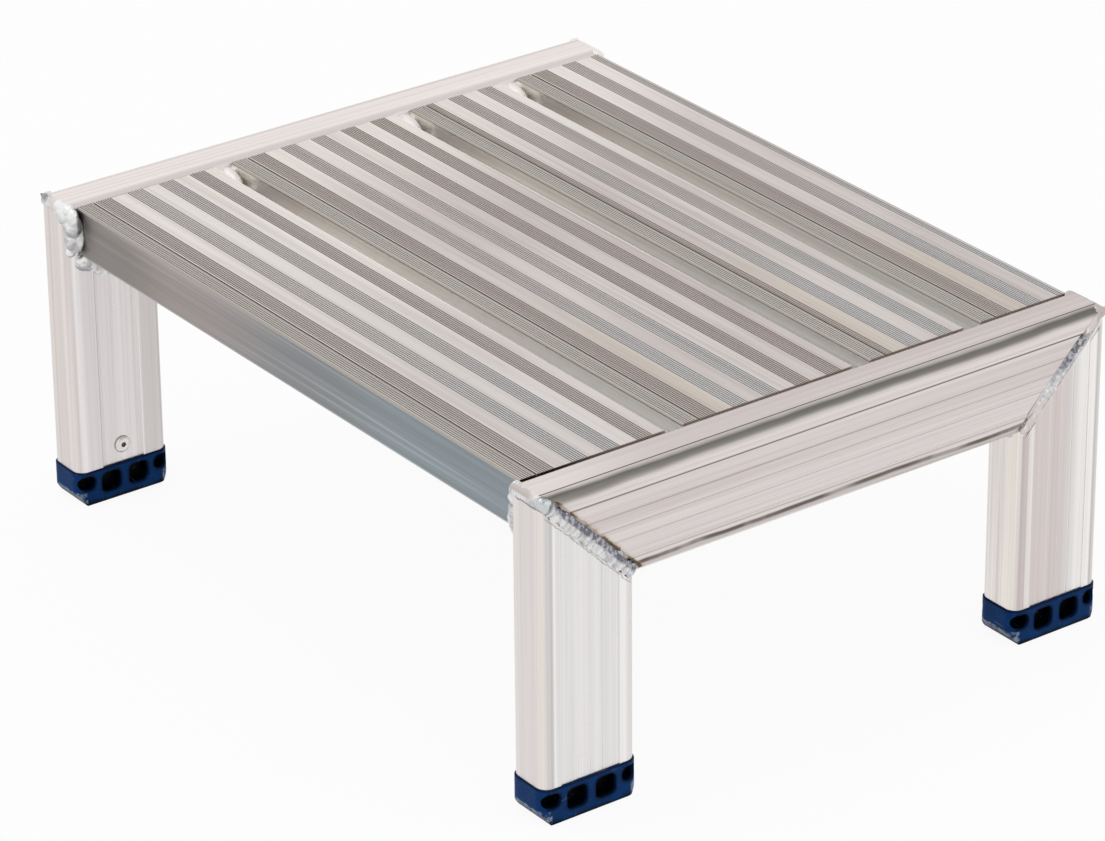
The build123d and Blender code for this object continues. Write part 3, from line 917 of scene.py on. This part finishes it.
# sizes and places of the beads in millimetres
mitreBead = {
    "seed": 11,
    "corner": 200.0,             # both the height of the step and half its depth
    "pitch": 4.2,
    "drop": (3.4, 5.3, 2.0),     # half length, half width, height
    "slim": 0.62,                # the back beads are this much narrower
    "outerFace": 252.5,
    "radius": 7.0,
    "fieldSink": 0.5,
    "field": (12.3, 51.7),       # depths between which the seam crosses the sunk fields
    "innerFace": 223.3,
    "sunk": 0.4,
    "start": {"front": 4.4, "back": 14.0},   # depth from the corner
    "end": 61.5,
    "innerStart": 18.0,
    "bed": (5.0, 1.4),
    "bedSunk": {"front": 0.8, "back": 1.5},
    "knob": {"front_right": (4.2, 4.7, 4.8)},
    "rounds": {"front_right": 6, "back_right": 6},
    "plainRounds": 12,
}
cornerBead = {
    "pitch": 3.4,
    "size": (2.9, 3.0, 2.2),     # half length, half width, height
    "inset": 3.2,
    "bed": (4.6, 3.8),           # half width and height
    "bedInset": 3.9,
    "bedPitch": 2.2,
    "bedLength": 6.0,            # half length of one drop of the bed
    "bedEnds": (221.5, 251.6),   # along the edge
    "from": 236.0,
    "to": 246.0,
    "plain": ("front_left", "back_left", "back_right"),   # corners where only the bed was left
}
hollowBead = {"pitch": 3.4, "size": 3.2, "from": 230.5, "to": 244.5, "place": 135.4}


def seamFace(depth):
    # outer surface on the seam at this depth, and the way it faces
    bead = mitreBead
    radius = bead["radius"]
    past = max(radius - depth, 0.0)
    level = math.sqrt(radius ** 2 - past ** 2)
    face = bead["outerFace"] - radius + level
    if bead["field"][0] < depth < bead["field"][1]:
        face -= bead["fieldSink"]
    lean = past * math.sqrt(0.5)
    return face, (level, -lean, lean)


def mitreWeld(corner, seed):
    bead = mitreBead
    sideways, lengthways = corners[corner]
    end = corner.split("_")[0]
    draw = random.Random(seed)
    drops = []

    def flip(x, y, z):
        return (x * sideways, y * lengthways * -1, z)   # modelled at the front right

    def lay(place, along, outward, size):
        drops.append(layDrop(flip(*place), flip(*along), flip(*outward), size))

    def onSeam(x, depth, drift=0.0):
        return (x, depth - bead["corner"] + drift, bead["corner"] - depth + drift)

    seam = (0, 1, -1)
    step = bead["pitch"] * math.sqrt(0.5)
    length, width, height = bead["drop"]
    slim = bead["slim"] if end == "back" else 1.0
    depth = bead["start"][end]
    while depth < bead["end"]:
        face, facing = seamFace(depth)
        swell = draw.uniform(0.84, 1.06) * slim
        place = onSeam(face - bead["sunk"], depth, draw.uniform(-0.6, 0.6))
        slant = (draw.uniform(-0.3, 0.3), seam[1], seam[2] + draw.uniform(-0.25, 0.25))
        size = (length * draw.uniform(0.8, 1.25), width * swell, height * draw.uniform(0.8, 1.1))
        lay(place, slant, facing, size)
        depth += step * draw.uniform(0.65, 1.35)
    depth = bead["innerStart"]
    while depth < bead["end"]:
        size = (length, width * draw.uniform(0.7, 0.8), height * 0.8)
        lay(onSeam(bead["innerFace"], depth), seam, (-1, 0, 0), size)
        depth += step * draw.uniform(0.9, 1.1)
    # bed of the bead, so that it lies closed over the seam, flush where a back bead has not started
    middle = (bead["start"]["front"] + bead["end"]) / 2
    reach = (bead["end"] - bead["start"]["front"]) * math.sqrt(0.5)
    bedLevel = bead["outerFace"] - bead["bedSunk"][end]
    lay(onSeam(bedLevel, middle), seam, (1, 0, 0), (reach + 2, *bead["bed"]))

    # knob at the top corner, where a front bead was started
    if corner in bead["knob"]:
        knobPlace = [distance / mm for distance in beadLook["knobPlace"]]
        lay(knobPlace, seam, (1, -0.4, 0.4), bead["knob"][corner])

    # bead over the edge where the rail's top meets the leg's front, on a bed that closes it
    side = cornerBead["from"]
    inset = cornerBead["inset"]
    length, width, height = cornerBead["size"]
    while side < cornerBead["to"] and corner not in cornerBead["plain"]:
        lower = inset + draw.uniform(-0.2, 1.2)
        size = (
            length * draw.uniform(0.8, 1.2), width * draw.uniform(0.8, 1.1), height * draw.uniform(0.75, 1.1))
        place = (side, inset - bead["corner"], bead["corner"] - lower)
        lay(place, (1, 0, 0), (0, -1, 1), size)
        side += cornerBead["pitch"] * draw.uniform(0.7, 1.3)
    bedFrom, bedTo = cornerBead["bedEnds"]
    side = bedFrom + cornerBead["bedPitch"]
    while side < bedTo:
        length = min(cornerBead["bedLength"], side - bedFrom, bedTo - side)
        lay(onSeam(side, cornerBead["bedInset"]), (1, 0, 0), (0, -1, 1), (length, *cornerBead["bed"]))
        side += cornerBead["bedPitch"]

    # fillet in the hollow under the rail
    side = hollowBead["from"]
    while side < hollowBead["to"]:
        size = hollowBead["size"] * draw.uniform(0.85, 1.1)
        place = (side, -hollowBead["place"], hollowBead["place"])
        lay(place, (1, 0, 0), (0, 1, -1), (size * 0.8, size * 1.15, size * 0.85))
        side += hollowBead["pitch"] * draw.uniform(0.9, 1.1)

    rounds = bead["rounds"].get(corner, bead["plainRounds"])
    piece = meltDrops(drops, corner + "_mitre_bead", rounds)
    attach(piece, "root")
    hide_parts(corner + "_mitre_weld")


for index, corner in enumerate(corners):
    mitreWeld(corner, mitreBead["seed"] + index)
print("mitre welds laid")


treadBead = {
    "seed": 41,
    "pitch": 2.9,
    "inner": 222.5,
    "bottom": 170.5,
    "top": 194.0,
    "rightTop": {"front_tread": 193.0, "others": 187.0},   # the right-hand beads stop lower
    "ceiling": 199.4,
    "rounds": {"front_tread_left": 12, "front_tread_right": 14},
    "plainRounds": 7,
    "ends": {"front_tread_right": (6.9, 6.4)},   # size at the bottom and the top
    "plain": (4.0, 5.4),
    "backSize": (3.8, 5.0),
    "underside": 166.5,
    "underSize": 7.0,
    "underRun": (4.0, 26.0),
    # where the front tread's left bead was started, and the fillet that slants from the leg to the lip:
    # lean, distance from the rail's inner face, Y, Z, half sizes
    "deposit": (
        (0.2, -4.5, -198.4, 192.5, 5.0, 9.0, 3.0),
        (0.2, 0.8, -196.2, 189.0, 9.0, 7.0, 5.2),
        (0.2, 0.0, -196.6, 181.5, 9.5, 5.0, 4.6),
        (0.2, -0.8, -197.4, 170.4, 3.2, 3.4, 3.2),
        (0.8, 2.6, -195.4, 182.5, 12.0, 6.4, 2.4),
    ),
    # thin metal that ran down the leg under it: Y, Z, half sizes
    "apron": (
        (-184.0, 160.0, 5.0, 6.5, 1.8),
        (-176.5, 156.0, 5.5, 7.0, 1.8),
        (-169.5, 153.5, 4.5, 5.5, 1.8),
    ),
    "gap": 11.8,
    "gapFill": (2.0, 189.0, 17.0, 6.6, 8.6),   # lump in the left end of a gap: inward, Z, half sizes
}


def treadWeld(node, side, seed):
    bead = treadBead
    sideways = 1 if side == "right" else -1
    isFirst = node == treadNames[0]
    draw = random.Random(seed)
    low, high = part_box(node)
    drops = []

    def lay(inward, y, z, along, outward, size):
        drops.append(layDrop((sideways * (bead["inner"] - inward), y, z), along, outward, size))

    bottom, top = bead["bottom"], bead["top"]
    if side == "right":
        top = bead["rightTop"].get(node, bead["rightTop"]["others"])
    frontSize = bead["ends"].get(node + "_" + side, bead["plain"])
    runs = [(low.y / mm, -1, frontSize), (high.y / mm, 1, bead["backSize"])]
    if side == "left" and isFirst:
        runs.pop(0)
        for lean, inward, y, z, *size in bead["deposit"]:
            lay(inward, y, z, (0, 0, -1), (lean, -1, 0.1), size)
        for y, z, *size in bead["apron"]:
            lay(0.0, y, z, (0, 1, 0), (-sideways, 0, 0), size)
    elif side == "left":
        inward, z, *size = bead["gapFill"]
        lay(inward, low.y / mm - bead["gap"] / 2, z, (1, 0, 0), (0, 0, 1), size)
    for edge, out, sizes in runs:
        height = bottom
        while height < top:
            share = (height - bottom) / (top - bottom)
            size = (sizes[0] + (sizes[1] - sizes[0]) * share) * draw.uniform(0.85, 1.08)
            inward, outward = draw.uniform(0.05, 0.2) * size, draw.uniform(0.05, 0.2) * size
            level = min(height, bead["ceiling"] - 0.9 * size)
            stretch = (size * 0.72, size, size * 0.8)
            lay(inward, edge + out * outward, level, (0, 0, 1), (-sideways, out, 0), stretch)
            height += bead["pitch"] * draw.uniform(0.85, 1.15)
    behind, runEnd = bead["underRun"]
    while behind < runEnd:
        size = bead["underSize"] * draw.uniform(0.7, 1.25)
        inward = draw.uniform(0.2, 1.0)
        level = bead["underside"] - draw.uniform(0.4, 4.4)
        stretch = (size * 0.8, size, size * 0.8)
        lay(inward, low.y / mm + behind, level, (0, 1, 0), (-sideways, 0, -1), stretch)
        behind += bead["pitch"] * draw.uniform(0.85, 1.15)
    rounds = bead["rounds"].get(node + "_" + side, bead["plainRounds"])
    piece = meltDrops(drops, node + "_bead_" + side, rounds)
    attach(piece, "root")
    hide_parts(node + "_weld_" + side)


for index, node in enumerate(treadNames):
    for side in ("right", "left"):
        treadWeld(node, side, treadBead["seed"] + 2 * index + (side == "left"))
print("tread welds laid")
bpy.data.objects.remove(weldDrop)
bpy.data.textures.remove(weldSkin)


# studio
def blendShaders(tree, share, first, second):
    made = addNode(tree, "ShaderNodeMixShader")
    for index, item in enumerate((share, first, second)):
        feed(tree, made.inputs[index], item)
    return made.outputs[0]


floorLook = {"size": 30.0, "colour": (0.92, 0.92, 0.92, 1.0), "glow": 0.92}


def studioFloor():
    clearSelection()
    bpy.ops.mesh.primitive_plane_add(size=floorLook["size"])
    floor = bpy.context.object
    floor.name = "studioFloor"
    material = bpy.data.materials.new("whiteFloor")
    material.use_nodes = True
    tree = material.node_tree
    tree.nodes.clear()
    matt = addNode(tree, "ShaderNodeBsdfDiffuse")
    matt.inputs["Color"].default_value = floorLook["colour"]
    glow = addNode(tree, "ShaderNodeEmission")
    rays = addNode(tree, "ShaderNodeLightPath").outputs
    seen = sums(tree, "MAXIMUM", rays["Is Camera Ray"], rays["Is Glossy Ray"])
    seen = sums(tree, "MAXIMUM", seen, rays["Is Transmission Ray"])
    surface = blendShaders(tree, times(tree, seen, floorLook["glow"]), matt.outputs[0], glow.outputs[0])
    feed(tree, addNode(tree, "ShaderNodeOutputMaterial").inputs["Surface"], surface)
    floor.data.materials.append(material)


studioFloor()

studioLook = {"diffuse": 0.95, "horizon": 1.22, "ceiling": 0.85, "ceilingRise": (0.66, 0.95)}


def studioWorld():
    world = bpy.data.worlds.new("whiteStudio")
    bpy.context.scene.world = world
    world.use_nodes = True
    tree = world.node_tree
    tree.nodes.clear()
    rays = addNode(tree, "ShaderNodeLightPath").outputs
    upward = addNode(tree, "ShaderNodeSeparateXYZ")
    feed(tree, upward.inputs[0], addNode(tree, "ShaderNodeTexCoord").outputs["Generated"])
    # metal sees a white surround with a greyer ceiling
    low, high = studioLook["ceilingRise"]
    ceiling = rise(tree, upward.outputs[2], low, high, studioLook["horizon"], studioLook["ceiling"])
    metalSees = addNode(tree, "ShaderNodeBackground")
    feed(tree, metalSees.inputs["Strength"], ceiling)
    plain = addNode(tree, "ShaderNodeBackground")
    plain.inputs["Strength"].default_value = studioLook["diffuse"]
    white = addNode(tree, "ShaderNodeBackground")
    surround = blendShaders(tree, rays["Is Glossy Ray"], plain.outputs[0], metalSees.outputs[0])
    seen = sums(tree, "MAXIMUM", rays["Is Camera Ray"], rays["Is Transmission Ray"])
    surround = blendShaders(tree, seen, surround, white.outputs[0])
    feed(tree, addNode(tree, "ShaderNodeOutputWorld").inputs["Surface"], surround)


studioWorld()

lampTarget = Vector((0, 0, 0.1))
lamps = {
    "keyLamp": {"place": (-0.55, -0.75, 3.0), "size": 1.6, "power": 14.0},
    "fillLamp": {"place": (2.2, 0.8, 1.8), "size": 2.0, "power": 4.0},
}
for name, lamp in lamps.items():
    clearSelection()
    bpy.ops.object.light_add(type="AREA", location=lamp["place"])
    light = bpy.context.object
    light.name = name
    light.data.shape = "DISK"
    light.data.size = lamp["size"]
    light.data.energy = lamp["power"]
    light.rotation_euler = (lampTarget - light.location).to_track_quat("-Z", "Y").to_euler()

cameraView = {
    "place": (2.29218, -1.68622, 1.50945),
    "lookAt": (-0.03216, 0.01682, 0.06967),
    "roll": math.radians(-0.502),
    "lens": 175.36,
    "sensor": 36.0,
}
clearSelection()
bpy.ops.object.camera_add(location=cameraView["place"])
camera = bpy.context.object
camera.name = "photoCamera"
camera.data.lens = cameraView["lens"]
camera.data.sensor_width = cameraView["sensor"]
camera.data.sensor_fit = "HORIZONTAL"
camera.data.clip_end = 100.0
aim = (Vector(cameraView["lookAt"]) - camera.location).to_track_quat("-Z", "Y")
camera.rotation_euler = (aim.to_matrix() @ Matrix.Rotation(cameraView["roll"], 3, "Z")).to_euler()
bpy.context.scene.camera = camera
bpy.context.scene.view_settings.view_transform = "Standard"
print("studio ready")
